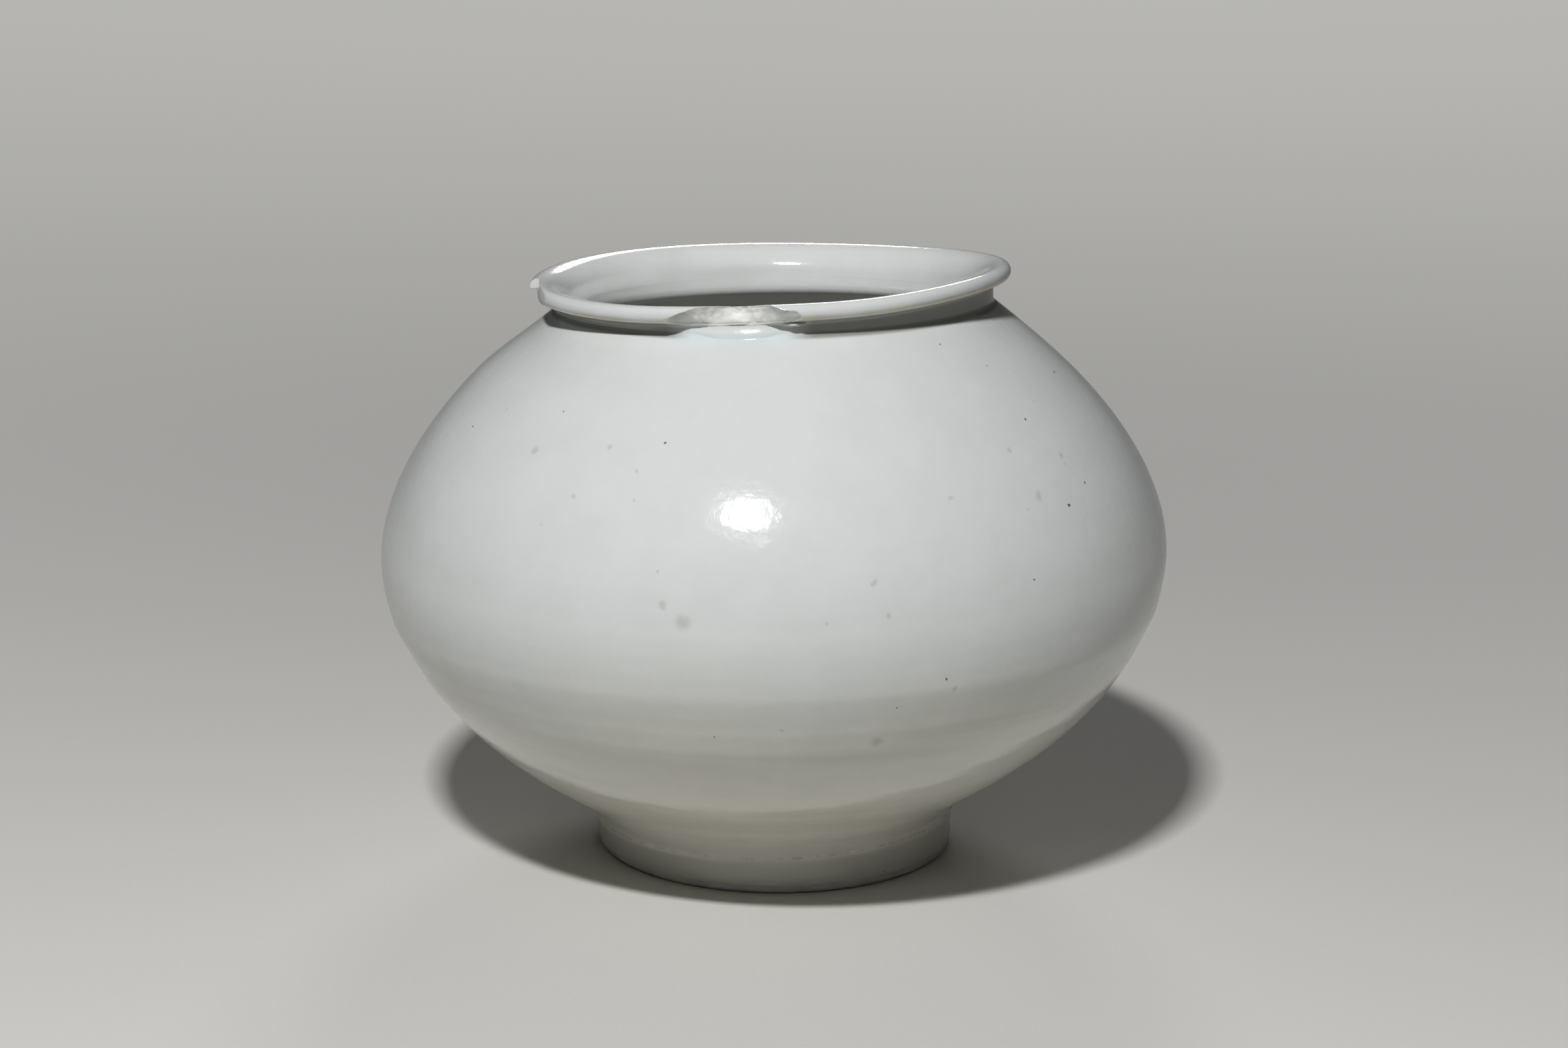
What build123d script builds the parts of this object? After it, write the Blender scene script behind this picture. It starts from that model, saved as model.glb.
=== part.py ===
from build123d import *
import os
from math import cos, radians, sin, tan

# A squat white-porcelain jar, put together as a potter builds it: two thrown bowls luted rim to rim,
# a foot ring luted below, a flared mouth rim luted above, and coats of glaze over the fired clay.
# Millimetres and degrees. +Z is up, -Y is the front, and the origin is on the floor under the belly.
# Radii and heights are measured on the clay, square to and along the jar's own axis.

# The thrown body leans to the left over a foot that is ground level
LEAN = 1.64

# Foot ring, and how far the body stands in from it
FOOT_RADIUS = 69.7
FOOT_TAPER = 1.2
FOOT_WIDTH = 11.0
FOOT_HEIGHT = 14.0
FOOT_BEVEL = 1.2
FOOT_STEP = 0.7

# Outline of the body, from its toe on the foot up to the neck. Each rise is counted from the station below,
# and each inset from the belly, which is the widest circle.
TOE_RISE = 7.5
TOE_ROUND = 8.0
KEEL_INSET = 39.8
KEEL_RISE = 24.9
FLANK_INSET = 9.5
FLANK_RISE = 36.3
BELLY_RADIUS = 149.5
BELLY_RISE = 33.8
SHOULDER_INSET = 7.3
SHOULDER_RISE = 30.2
SLOPE_INSET = 34.6
SLOPE_RISE = 37.5
NECK_RADIUS = 84.0
NECK_RISE = 27.3
NECK_ROUND = 0.8

# Mouth rim: an upright neck, and a funnel that rises inside it from the throat, end in a rolled lip.
# The undercut is how steeply the lip's underside rises from the neck, and the flare is how steeply
# the funnel falls where it leaves the lip.
LIP_OVERHANG = 6.6
LIP_RISE = 12.0
LIP_THICKNESS = 7.6
LIP_UNDERCUT = 15.0
LIP_FLARE = 20.0
THROAT_WALL = 8.5
THROAT_DROP = 6.0
THROAT_ROUND = 5.0

# Thickness of the thrown walls and of the floor, and the floor's flat part
SLOPE_WALL = 6.5
SHOULDER_WALL = 6.5
BELLY_WALL = 7.0
FLANK_WALL = 7.5
KEEL_WALL = 9.0
FLOOR_THICKNESS = 12.0
FLOOR_RADIUS = 54.0
FLOOR_ROUND = 40.0

# Luting joints of slip, and how far the joint between the two bowls lies below the belly
SLIP = 1.0
SEAM_DROP = 23.5

# Glaze, and the bare edge that is left above the resting face
GLAZE = 0.5
BARE_EDGE = 3.5

# Breaks in the lip: a long chip and a flake beside it at the front, and a nick at the left.
# Each one cuts this deep, with a hollow of this radius: a straight trough for the chip, a bowl for the others.
# Bearings are counted from the front to the right, and rises from the neck upwards.
CHIP_DEPTH = 5.6
CHIP_HOLLOW = 9.0
CHIP_BEARING = -8.0
CHIP_RISE = 5.5
FLAKE_DEPTH = 4.0
FLAKE_HOLLOW = 9.0
FLAKE_BEARING = 13.0
FLAKE_RISE = 6.0
NICK_DEPTH = 2.4
NICK_HOLLOW = 8.0
NICK_BEARING = -88.0
NICK_RISE = 8.5

# Stations of the outline: radius across, height up
toe = Vector(FOOT_RADIUS - FOOT_STEP, FOOT_HEIGHT + TOE_RISE)
keel = Vector(BELLY_RADIUS - KEEL_INSET, toe.Y + KEEL_RISE)
flank = Vector(BELLY_RADIUS - FLANK_INSET, keel.Y + FLANK_RISE)
belly = Vector(BELLY_RADIUS, flank.Y + BELLY_RISE)
shoulder = Vector(BELLY_RADIUS - SHOULDER_INSET, belly.Y + SHOULDER_RISE)
slope = Vector(BELLY_RADIUS - SLOPE_INSET, shoulder.Y + SLOPE_RISE)
neck = Vector(NECK_RADIUS, slope.Y + NECK_RISE)

# The jar's own axis, the plane square to it, and the plane that holds every section.
# The axis meets the floor to the right of the origin, so that the belly is centred over the origin.
TILT = radians(LEAN)
AXIS_FOOT = (belly.Y * tan(TILT), 0, 0)
ACROSS = (cos(TILT), 0, sin(TILT))
UPWARDS = (-sin(TILT), 0, cos(TILT))
JAR_AXIS = Axis(AXIS_FOOT, UPWARDS)
JAR = Plane(origin=AXIS_FOOT, x_dir=ACROSS, z_dir=UPWARDS)
SECTION = Plane(origin=AXIS_FOOT, x_dir=ACROSS, z_dir=(0, -1, 0))

# The ring is thrown a little too tall, so that the level cut takes some off it all round
foot_spare = 2 * FOOT_RADIUS * tan(TILT) + FOOT_BEVEL
foot_inside = FOOT_RADIUS - FOOT_WIDTH
foot_middle = FOOT_RADIUS - FOOT_WIDTH / 2

# Ends of the inside, the middle of the lip's roll, and the collar, where the lip's underside meets the neck
throat = neck - Vector(THROAT_WALL, THROAT_DROP)
floor_edge = Vector(FLOOR_RADIUS, FOOT_HEIGHT + FLOOR_THICKNESS)
lip_radius = NECK_RADIUS + LIP_OVERHANG
lip_middle = neck + Vector(LIP_OVERHANG - LIP_THICKNESS / 2, LIP_RISE - LIP_THICKNESS / 2)
under_roll = lip_middle - Vector(0, LIP_THICKNESS / 2 / cos(radians(LIP_UNDERCUT)))
collar = under_roll - Vector(1, tan(radians(LIP_UNDERCUT))) * (lip_middle.X - neck.X)
crest_height = neck.Y + LIP_RISE + GLAZE
seam_height = belly.Y - SEAM_DROP


def bowed(stations, tangent):
    """Arcs that run on smoothly from station to station, and set out along the tangent."""
    arcs = []
    for start, end in zip(stations, stations[1:]):
        arcs.append(TangentArc(start, end, tangent=tangent))
        tangent = arcs[-1] % 1
    return arcs


def beside(arcs, depths, end):
    """Arcs beside others, with each station moved to the right of the run by its depth, up to an end."""
    stations = [arc @ 0 + (arc % 0).rotate(Axis.Z, -90) * depth for arc, depth in zip(arcs, depths)]
    return bowed([*stations, end], arcs[0] % 0)


def mitre(corner, along, onward, depth):
    """Where two lines that meet at a corner cross, once both are moved to the right by the depth."""
    first = along.rotate(Axis.Z, -90)
    second = onward.rotate(Axis.Z, -90)
    return corner + (first + second) * (depth / (1 + first.dot(second)))


def jar_section(coat):
    """Half section of the jar, grown by a coat all round."""
    lip_round = Vector(LIP_THICKNESS / 2 + coat, 0)
    lip_inside = lip_middle + lip_round.rotate(Axis.Z, 90 + LIP_FLARE)
    toe_corner = mitre(toe, falling[-1] % 1, Vector(0, -1), -coat)
    waist = mitre(neck, rising[-1] % 1, Vector(0, 1), coat)
    collar_corner = mitre(collar, Vector(0, 1), lip_slope, coat)
    throat_corner = mitre(throat, inner_rising[-1] % 1, funnel_slope, -coat)
    floor_corner = mitre(floor_edge, inner_falling[-1] % 1, Vector(-1, 0), coat)
    under_lip = lip_middle + lip_round.rotate(Axis.Z, LIP_UNDERCUT - 90)
    with BuildSketch() as section:
        with BuildLine():
            Polyline(
                (0, floor_corner.Y),
                (0, FOOT_HEIGHT - coat),
                (foot_inside - coat, FOOT_HEIGHT - coat),
                (foot_inside - coat, -foot_spare),
                (FOOT_RADIUS + coat - FOOT_TAPER, -foot_spare),
                (FOOT_RADIUS + coat, FOOT_HEIGHT + coat),
                (toe_corner.X, FOOT_HEIGHT + coat),
                toe_corner,
            )
            add(beside(falling, [-coat] * len(falling), toe_corner))
            add(beside(rising, [coat] * len(rising), waist))
            Polyline(waist, collar_corner, under_lip)
            lip = ThreePointArc(under_lip, lip_middle + lip_round.rotate(Axis.Z, 45), lip_inside)
            TangentArc(lip_inside, throat_corner, tangent=lip % 1)
            add(beside(inner_rising, [-coat] * len(inner_rising), throat_corner))
            add(beside(inner_falling, [coat] * len(inner_falling), floor_corner))
            Line(floor_corner, (0, floor_corner.Y))
        make_face()
        fillet(section.vertices().sort_by_distance(toe_corner)[0], TOE_ROUND - coat)
        fillet(section.vertices().sort_by_distance(waist)[0], NECK_ROUND)
        fillet(section.vertices().sort_by_distance(collar_corner)[0], NECK_ROUND)
        fillet(section.vertices().sort_by_distance(throat_corner)[0], THROAT_ROUND + coat)
        fillet(section.vertices().sort_by_distance(floor_corner)[0], FLOOR_ROUND - coat)
    return section.sketch


def outside_lip(reach, bearing):
    """The point this far outside the edge of the lip, in the plane across the jar."""
    return Vector(0, -lip_radius - reach).rotate(Axis.Z, bearing)


def keep_strip(low, high, near=0):
    """Keeps the part of the section between two heights, and outside the near radius."""
    with Locations(((near + BELLY_RADIUS) / 2 + GLAZE, (low + high) / 2)):
        Rectangle(BELLY_RADIUS - near + 2 * GLAZE, high - low, mode=Mode.INTERSECT)


# The body's outside and inside, as arcs from the belly up and from the belly down
rising = bowed([belly, shoulder, slope, neck], Vector(0, 1))
falling = bowed([belly, flank, keel, toe], Vector(0, -1))
inner_rising = beside(rising, [-BELLY_WALL, -SHOULDER_WALL, -SLOPE_WALL], throat)
inner_falling = beside(falling, [BELLY_WALL, FLANK_WALL, KEEL_WALL], floor_edge)

# Slopes of the lip's underside, and of the funnel where it leaves the throat
lip_slope = Vector(1, 0).rotate(Axis.Z, LIP_UNDERCUT)
funnel_top = lip_middle + Vector(LIP_THICKNESS / 2, 0).rotate(Axis.Z, 90 + LIP_FLARE)
funnel_slope = -(TangentArc(funnel_top, throat, tangent=Vector(-1, 0).rotate(Axis.Z, LIP_FLARE)) % 1)

# Sections through the clay, through the glaze all round it, and of the space in the jar with half its wall
clay = jar_section(0)
with BuildSketch() as coat:
    add(jar_section(GLAZE))
    add(clay, mode=Mode.SUBTRACT)
with BuildSketch() as hollow:
    with BuildLine():
        upwards = beside(rising, [-BELLY_WALL / 2, -SHOULDER_WALL / 2, -SLOPE_WALL / 2], (neck + throat) / 2)
        downwards = beside(falling, [BELLY_WALL / 2, FLANK_WALL / 2, KEEL_WALL / 2], (toe + floor_edge) / 2)
        add(upwards)
        add(downwards)
        Polyline(upwards[-1] @ 1, lip_middle, (lip_middle.X, crest_height), (0, crest_height))
        Polyline((0, crest_height), (0, FOOT_HEIGHT + FLOOR_THICKNESS / 2), downwards[-1] @ 1)
    make_face()

# What is broken out of the lip
with BuildPart(JAR.offset(neck.Y + CHIP_RISE)) as chip:
    with Locations(outside_lip(CHIP_HOLLOW - CHIP_DEPTH, CHIP_BEARING)):
        Cylinder(CHIP_HOLLOW, lip_radius, rotation=(90, 90 + CHIP_BEARING, 0))
with BuildPart(JAR.offset(neck.Y + FLAKE_RISE)) as flake:
    with Locations(outside_lip(FLAKE_HOLLOW - FLAKE_DEPTH, FLAKE_BEARING)):
        Sphere(FLAKE_HOLLOW)
with BuildPart(JAR.offset(neck.Y + NICK_RISE)) as nick:
    with Locations(outside_lip(NICK_HOLLOW - NICK_DEPTH, NICK_BEARING)):
        Sphere(NICK_HOLLOW)
breaks = [chip.part, flake.part, nick.part]

# Ring that carries the jar, ground level where it stands
with BuildPart() as foot_ring:
    with BuildSketch(SECTION):
        add(clay)
        keep_strip(-foot_spare, FOOT_HEIGHT - SLIP)
    revolve(axis=JAR_AXIS)
    split(bisect_by=Plane.XY)
    chamfer(foot_ring.faces().sort_by(Axis.Z)[0].edges(), FOOT_BEVEL)

# Slip that lutes the ring to the underside of the lower bowl
with BuildPart() as foot_slip:
    with BuildSketch(SECTION):
        add(clay)
        keep_strip(FOOT_HEIGHT - SLIP, FOOT_HEIGHT)
    revolve(axis=JAR_AXIS)

# Lower thrown bowl, with the jar's floor
with BuildPart() as lower_bowl:
    with BuildSketch(SECTION):
        add(clay)
        keep_strip(FOOT_HEIGHT, seam_height - SLIP / 2)
    revolve(axis=JAR_AXIS)

# Slip that lutes the two bowls rim to rim
with BuildPart() as belly_slip:
    with BuildSketch(SECTION):
        add(clay)
        keep_strip(seam_height - SLIP / 2, seam_height + SLIP / 2)
    revolve(axis=JAR_AXIS)

# Upper thrown bowl, turned over and opened at its top
with BuildPart() as upper_bowl:
    with BuildSketch(SECTION):
        add(clay)
        keep_strip(seam_height + SLIP / 2, neck.Y - SLIP)
    revolve(axis=JAR_AXIS)

# Slip that lutes the mouth rim to the upper bowl
with BuildPart() as neck_slip:
    with BuildSketch(SECTION):
        add(clay)
        keep_strip(neck.Y - SLIP, neck.Y)
    revolve(axis=JAR_AXIS)

# Flared mouth rim with its rolled lip, chipped at the front and nicked at the left
with BuildPart() as mouth_rim:
    with BuildSketch(SECTION):
        add(clay)
        keep_strip(neck.Y, crest_height)
    revolve(axis=JAR_AXIS)
    add(breaks, mode=Mode.SUBTRACT)

# Glaze that was poured in and out again, up to the crest of the lip
with BuildPart() as inner_glaze:
    with BuildSketch(SECTION):
        add(coat.sketch)
        add(hollow.sketch, mode=Mode.INTERSECT)
    revolve(axis=JAR_AXIS)
    add(breaks, mode=Mode.SUBTRACT)

# Glaze that the outside was dipped in, wiped off the foot's standing edge
with BuildPart() as outer_glaze:
    with BuildSketch(SECTION):
        add(coat.sketch)
        add(hollow.sketch, mode=Mode.SUBTRACT)
        keep_strip(-foot_spare, crest_height, near=foot_middle)
    revolve(axis=JAR_AXIS)
    split(bisect_by=Plane.XY.offset(BARE_EDGE))
    add(breaks, mode=Mode.SUBTRACT)

# Glaze in the well under the floor, inside the foot ring
with BuildPart() as well_glaze:
    with BuildSketch(SECTION):
        add(coat.sketch)
        with Locations((foot_inside / 2, (FOOT_HEIGHT - foot_spare) / 2)):
            Rectangle(foot_inside, FOOT_HEIGHT + foot_spare, mode=Mode.INTERSECT)
    revolve(axis=JAR_AXIS)
    split(bisect_by=Plane.XY.offset(BARE_EDGE))

pieces = {
    "foot_ring": foot_ring,
    "foot_slip": foot_slip,
    "lower_bowl": lower_bowl,
    "belly_slip": belly_slip,
    "upper_bowl": upper_bowl,
    "neck_slip": neck_slip,
    "mouth_rim": mouth_rim,
    "inner_glaze": inner_glaze,
    "outer_glaze": outer_glaze,
    "well_glaze": well_glaze,
}
os.makedirs("parts", exist_ok=True)
for name, piece in pieces.items():
    piece.part.label = name
    export_step(piece.part, f"parts/{name}.step")
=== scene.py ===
import math
import bpy
import numpy as np
from mathutils import Matrix, Vector


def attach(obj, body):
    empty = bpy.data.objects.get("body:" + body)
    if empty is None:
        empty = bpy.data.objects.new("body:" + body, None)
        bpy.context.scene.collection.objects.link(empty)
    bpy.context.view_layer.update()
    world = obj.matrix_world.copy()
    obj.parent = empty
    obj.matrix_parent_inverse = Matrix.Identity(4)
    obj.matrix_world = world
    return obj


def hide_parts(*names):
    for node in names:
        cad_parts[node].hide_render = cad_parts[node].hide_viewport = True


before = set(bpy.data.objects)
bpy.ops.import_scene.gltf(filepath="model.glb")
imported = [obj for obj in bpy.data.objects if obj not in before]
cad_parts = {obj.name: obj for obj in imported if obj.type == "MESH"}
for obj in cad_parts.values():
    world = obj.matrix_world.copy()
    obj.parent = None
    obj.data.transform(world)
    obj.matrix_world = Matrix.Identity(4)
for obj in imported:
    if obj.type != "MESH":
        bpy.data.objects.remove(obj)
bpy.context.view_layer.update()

# Radii, heights and depths below are in millimetres on the jar's own axis, before it leans.
# Bearings are in degrees from the front, counted to the right.
MM = 0.001
LEAN = math.radians(1.64)
BELLY_HEIGHT = 116.5
AXIS_FOOT = BELLY_HEIGHT * math.tan(LEAN)

# Foot, with the step where the body sits on it, and the bevels of its standing edge
FOOT_HEIGHT = 14.0
FOOT_INSIDE = 58.7
FOOT_SHIFT = 2.2
FOOT_SHIFT_ENDS = 70.0
FOOT_BEVEL = 1.2
FOOT_BEVEL_RISE = 1.05
FOOT_STEP = 0.9
STEP_STARTS = FOOT_HEIGHT - 0.6
STEP_ENDS = FOOT_HEIGHT + 1.4
WELL_ROUND = 8.0

# Outside of the clay, from the standing edge of the foot up to the neck
NECK_RADIUS = 84.0
NECK_HEIGHT = 211.5
NECK_ROUND = 1.4
OUTSIDE = [(67.8, 0), (69.0, FOOT_HEIGHT), (84.6, 28.8), (123.7, 60.3), (149.5, 116.0), (124.4, 173.7),
           (NECK_RADIUS, NECK_HEIGHT)]
OUTSIDE_STARTS = (0.09, 1)
OUTSIDE_ENDS = (-1.2, 1)

# Inside of the clay: the flared funnel from the crest of the lip to the throat, the corner of the throat,
# and the wall from under it to the middle of the floor
FUNNEL = [(88.05, 223.5), (81.2, 220.6), (76.9, 213.9), (75.4, 207.2)]
FUNNEL_STARTS = (-1, 0)
FUNNEL_ENDS = (-0.1, -1)
THROAT = (75.25, 205.8)
INSIDE = [(76.7, 204.8), (97.0, 190.3), (117.7, 170.9), (142.4, 116.0), (116.6, 64.4), (75.4, 34.0),
          (51.0, 26.6), (0, 26.0)]
INSIDE_STARTS = (1.4, -1)
INSIDE_ENDS = (-1, 0)

# Rolled lip at the mouth, whose underside rises gently from an upright neck
LIP_RADIUS = 90.6
LIP_ROUND = 2.55
LIP_HEIGHT = 220.95
LIP_UNDERCUT = math.radians(15)

# Joints of slip, coats of glaze, the bare edge that is wiped above the standing face, the height where the
# two pieces of the outer coat meet, and how deep that coat hides where the lip is broken
SLIP = 1.0
SEAM_HEIGHT = 93.0
GLAZE = 0.5
BARE_EDGE = 3.5
COAT_SPLIT = NECK_HEIGHT - 5
SUNK = 0.6

# Waves that leave the body out of round: turns of each, its depth and where it starts in radians, and the
# heights between which they grow. All unevenness dies away towards the axis.
WAVES = [(2, -0.3, 0.3), (3, 0.2, -1.1)]
WAVES_GROW = (20, 120)
AXIS_CALM = 40

# Rings of the wheel, fine and coarse: pitch and depth, and the heights where they start, fade and end
FINE_PITCH, FINE_RING, FINE_SWAY = 7.306, 0.03, 0.9
COARSE_PITCH, COARSE_RING, COARSE_START = 16.98, 0.05, 1.3
RINGS_START = (18, 40)
RINGS_FADE = (70, 130)
RINGS_FADED = 0.75
RINGS_END = (190, 205)

# Ridge and hollow at the joint of the two bowls: height, width and depth of each
JOINT_RIDGES = [(96, 5, 0.25), (85, 7, -0.3)]

# How the rim and the neck are drawn in towards the left, and the heights where each is
RIM_DRAWN = 0.65
RIM_FULL = 217.0
NECK_DRAWN = 4.0
NECK_BEND = (188, 210)

# How far the rim sinks: everywhere, to the left, to the front, on an oval, on a skewed oval and at the back
# of that, and in two shallow dips by bearing, width and depth
DIP_LEVEL = -0.05
DIP_LEFT = 1.5
DIP_FRONT = 0.45
DIP_OVAL = 0.45
DIP_SKEW = 0.4
DIP_SKEW_BACK = 0.55
FRONT_DIPS = [(-40, 28, 0.8), (24, 22, 0.8)]

# Chip at the front of the lip. It reaches to the left and right of its bearing, less far for each millimetre
# above a level. Its face stands just outside the neck, is undercut towards its ends and stops above the
# neck's corner. Lumps are given by grain, depth and seed, and the uneven edge by grain, share and seed.
CHIP_BEARING = -7.2
CHIP_LEFT, CHIP_LEFT_SLANT = 24.5, 0.08
CHIP_RIGHT, CHIP_RIGHT_SLANT = 20.5, 0.03
CHIP_SLANT_LEVEL = 7.0
CHIP_STANDS = 0.3
CHIP_TILT, CHIP_END_TILT = 0.05, 0.35
CHIP_TOP = 11.0
CHIP_DEPTH, CHIP_POWER = 6.0, 2.2
CHIP_STOPS = (5.6, 4.0)
CHIP_LUMPS = [(6.5, 0.8, 3), (3.1, 0.35, 4)]
CHIP_GRIT = (1.3, 0.1, 5)
CHIP_EDGE = (7.0, 0.22, 6)
CLEAR_OF_LIP = 9.0

# Nick at the left of the lip. A beak of the lip stands behind it, and is undercut further back.
NICK_BEARING = -87.0
NICK_REACH, NICK_POWER = 38.0, 1.3
NICK_RADIUS, NICK_DEPTH = 87.4, 3.6
NICK_BULGE, NICK_BULGE_HEIGHT, NICK_BULGE_RISE = 0.7, 220.5, 3.0
NICK_STOPS = (218.0, 217.0)
BEAK_UNDERCUT, BEAK_UNDERSIDE, BEAK_SLOPE = 24.0, (220.2, 219.0), 3.0

# Pool of glaze in the corner of the neck under the chip, and the scar under the lip beside it
POOL_TOP, POOL_FALL, POOL_REACH = 217.0, 6.0, 13.0
POOL_EDGE, POOL_EDGE_BAND = 0.3, (218.4, 216.9)
POOL_DEEPEST = 1.05
SCAR_BEARING, SCAR_HEIGHT, SCAR_RADIUS = 6.4, 216.6, 87.9
SCAR_DEPTH, SCAR_WIDTH, SCAR_RISE = 2.5, 4.0, 1.1

# Where the columns of a broken lip crowd together: bearing, width and strength, over an even few
FEW = 0.16
CROWDS = [(CHIP_BEARING - 2, 19, 1.0), (NICK_BEARING, 7, 0.8)]

# Columns round the axis, by piece, and the angle past which an edge stays sharp
FOOT_COLUMNS = 240
FOOT_SLIP_COLUMNS = 160
CLAY_COLUMNS = 200
LIP_COLUMNS = 760
BODY_COLUMNS = 380
BOWL_COLUMNS = 360
SHARP = math.radians(50)

# Sizes of what the eye sees in the surfaces: clouds and mottle in the glaze, its orange peel, grime and
# streaks, the grain and blots of bare clay, and the fibre of the paper, which is drawn coarse enough to show
CLOUD, MOTTLE, PEEL, GRIME = 62.5, 18.18, 4.167, 3.846
STREAK_LENGTH, STREAK_HEIGHT = 166.7, 6.667
CLAY_GRAIN, CLAY_BLOT = 1.111, 7.692
PAPER_FIBRE = 1.4286
BUMP = 0.4

# Heights between which cream turns to bluish white, and how far clouds shift them, and the depths of break
# between which grey clay turns to white: the grey is partly wear, partly painted shade at the chip's ends
CREAM_ENDS = (40, 125)
CREAM_SWAY = 60
FRESH_FROM, FRESH_FULLY = 0.6, 3.6

# Bands by their lower height, upper height and blur, and how squarely a place faces the chip's way
# where the neck is open to the light. The neck, foot and inner bands are painted shade; the rest are stains.
LOWER_STREAKS = (20, 85, 15)
OLIVE_EDGE = (218.3, 219.8, 1.0)
BLUE_POOL = (210.2, 212.0, 1.0)
# Painted shade in the neck under the lip, where the lip shades it, and more in its corner
NECK_PAINTED_SHADE = [((211.0, 217.6, 0.8), 0.6), ((210.6, 212.2, 0.8), 0.4)]
# Painted shade that greys the foot, where the belly shades it
FOOT_PAINTED_SHADE = (-5, 11, 4)
STEP_GRIT = (14.0, 14.4, 0.4)
# Painted shade that greys the inside below the throat, where the mouth lets in little light
INNER_PAINTED_SHADE = (25, 203, 3)
OPEN_FROM, OPEN_FULLY = 0.95, 0.98

# Iron specks and soft smudges in the glaze: bearing, height and radius of each. Then how far noise shifts
# them, and the share of the radius that is full strength.
SPECKS = [(41.2, 205.0, 0.6), (49.5, 196.6, 0.5), (70.7, 188.9, 0.8), (48.8, 179.3, 0.7), (54.0, 156.4, 0.7),
          (48.0, 151.2, 1.0), (-61.3, 176.6, 0.7), (-17.3, 179.7, 0.7), (-39.7, 186.4, 0.5),
          (23.5, 100.5, 0.7), (16.9, 91.5, 0.5), (37.4, 130.4, 0.6), (-8.4, 82.2, 0.5), (36.6, 4.5, 0.5),
          (118, 150, 0.7), (151, 171, 0.6), (-143, 128, 0.8), (-117, 164, 0.6), (172, 96, 0.6)]
SMUDGES = [(55.3, 193.2, 0.8), (54.2, 183.7, 0.7), (41.2, 171.8, 1.3), (51.8, 166.4, 1.7), (51.6, 163.5, 0.9),
           (42.6, 156.4, 2.5), (39.5, 153.2, 1.2), (27.2, 160.3, 1.3), (-68.3, 178.7, 0.8),
           (-54.6, 184.2, 0.7), (-41.3, 173.8, 2.5), (-27.0, 177.4, 1.6), (-30.3, 161.8, 1.7),
           (-21.1, 170.6, 1.0), (-20.0, 162.3, 0.9), (-34.3, 151.9, 0.8), (-15.2, 140.7, 0.9),
           (-14.2, 130.2, 1.9), (-11.4, 124.6, 4.0), (15.2, 125.4, 1.3), (13.6, 136.3, 1.5),
           (24.9, 96.3, 1.6), (1.2, 84.9, 1.2), (7.1, 124.1, 1.0), (14.8, 77.8, 3.5),
           (132, 142, 2.2), (-158, 108, 3.0), (-101, 139, 1.6)]
SPECK_STRAY = 0.8
SMUDGE_STRAY = 3.0
MARK_CORE = 0.2

# Soft boxes: elevation and bearing in degrees, distance, width and height in metres, power in watts.
# They face the front of the shoulder. The light behind is far off: elevation, bearing, breadth, strength.
KEY_LIGHT = (52, -13, 1.8, 0.19, 0.09, 34.0)
LOW_LIGHT = (42, -6, 1.8, 0.09, 0.03, 0.12)
BACK_LIGHT = (28, 176, 16, 0.55)
LIT_PLACE = (-0.012, -0.136, 0.158)
ROOM_STRENGTH = 0.075

# Paper floor: half its width in metres and its points to a side, and how far it is lifted for the camera
FLOOR_REACH = 12.0
FLOOR_POINTS = 49
FLOOR_GLOW = 0.40
GLOW_REACH = 1.45

# Camera: focal length and sensor in millimetres, distance, height and farthest view in metres, turns in
# degrees
FOCAL_LENGTH = 64.04
SENSOR = 36
CAMERA_AWAY, CAMERA_HEIGHT, FARTHEST = 1.05, 0.35809, 50
PITCH, YAW, ROLL = 12.488, 0.0177, 0.5846


def linear(code):
    """Turns a colour as the eye sees it, written as sRGB hex, into the linear colour a shader takes."""
    parts = [int(code[i:i + 2], 16) / 255 for i in (0, 2, 4)]
    return [p / 12.92 if p <= 0.04045 else ((p + 0.055) / 1.055) ** 2.4 for p in parts] + [1]


def grains(size):
    """How many grains of a size in millimetres go to a metre, which is what the scale of a noise counts."""
    return 1 / (size * MM)


def eased(low, high, value):
    """Rises smoothly from 0 at the low value to 1 at the high one."""
    part = np.clip((value - low) / (high - low), 0, 1)
    return part * part * (3 - 2 * part)


def bells(marks, value):
    """Sum of bell curves at a value, each given by its middle, width and depth."""
    return sum(depth * np.exp(-((value - middle) / width) ** 2) for middle, width, depth in marks)


def arc_from(middle, bearing):
    """Millimetres along the lip from a middle bearing."""
    return np.radians(bearing - middle) * LIP_RADIUS


def flowing(stations, starts, ends, steps):
    """Smooth line through the stations: one cubic to each span, with equal bends where two spans meet."""
    points = np.array(stations, float)
    spans = np.linalg.norm(np.diff(points, axis=0), axis=1)
    system = np.eye(len(points))
    wanted = np.zeros_like(points)
    wanted[0] = np.array(starts) / np.linalg.norm(starts)
    wanted[-1] = np.array(ends) / np.linalg.norm(ends)
    for i in range(1, len(points) - 1):
        before, after = 1 / spans[i - 1], 1 / spans[i]
        system[i, i - 1:i + 2] = before, 2 * (before + after), after
        wanted[i] = 3 * ((points[i] - points[i - 1]) * before ** 2 + (points[i + 1] - points[i]) * after ** 2)
    slopes = np.linalg.solve(system, wanted)
    ends_at = np.concatenate(([0], np.cumsum(spans)))
    along = np.linspace(0, ends_at[-1], steps)
    i = np.clip(np.searchsorted(ends_at, along, side="right") - 1, 0, len(spans) - 1)
    t = ((along - ends_at[i]) / spans[i])[:, None]
    reach = spans[i][:, None]
    return (points[i] * (1 + 2 * t) * (1 - t) ** 2 + slopes[i] * reach * t * (1 - t) ** 2
            + points[i + 1] * t ** 2 * (3 - 2 * t) + slopes[i + 1] * reach * t ** 2 * (t - 1))


def bent(start, middle, end, steps):
    """Curve from start to end that heads for the middle point at first: a quadratic."""
    t = np.linspace(0, 1, steps)[:, None]
    return np.array(start) * (1 - t) ** 2 + 2 * np.array(middle) * t * (1 - t) + np.array(end) * t ** 2


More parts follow.
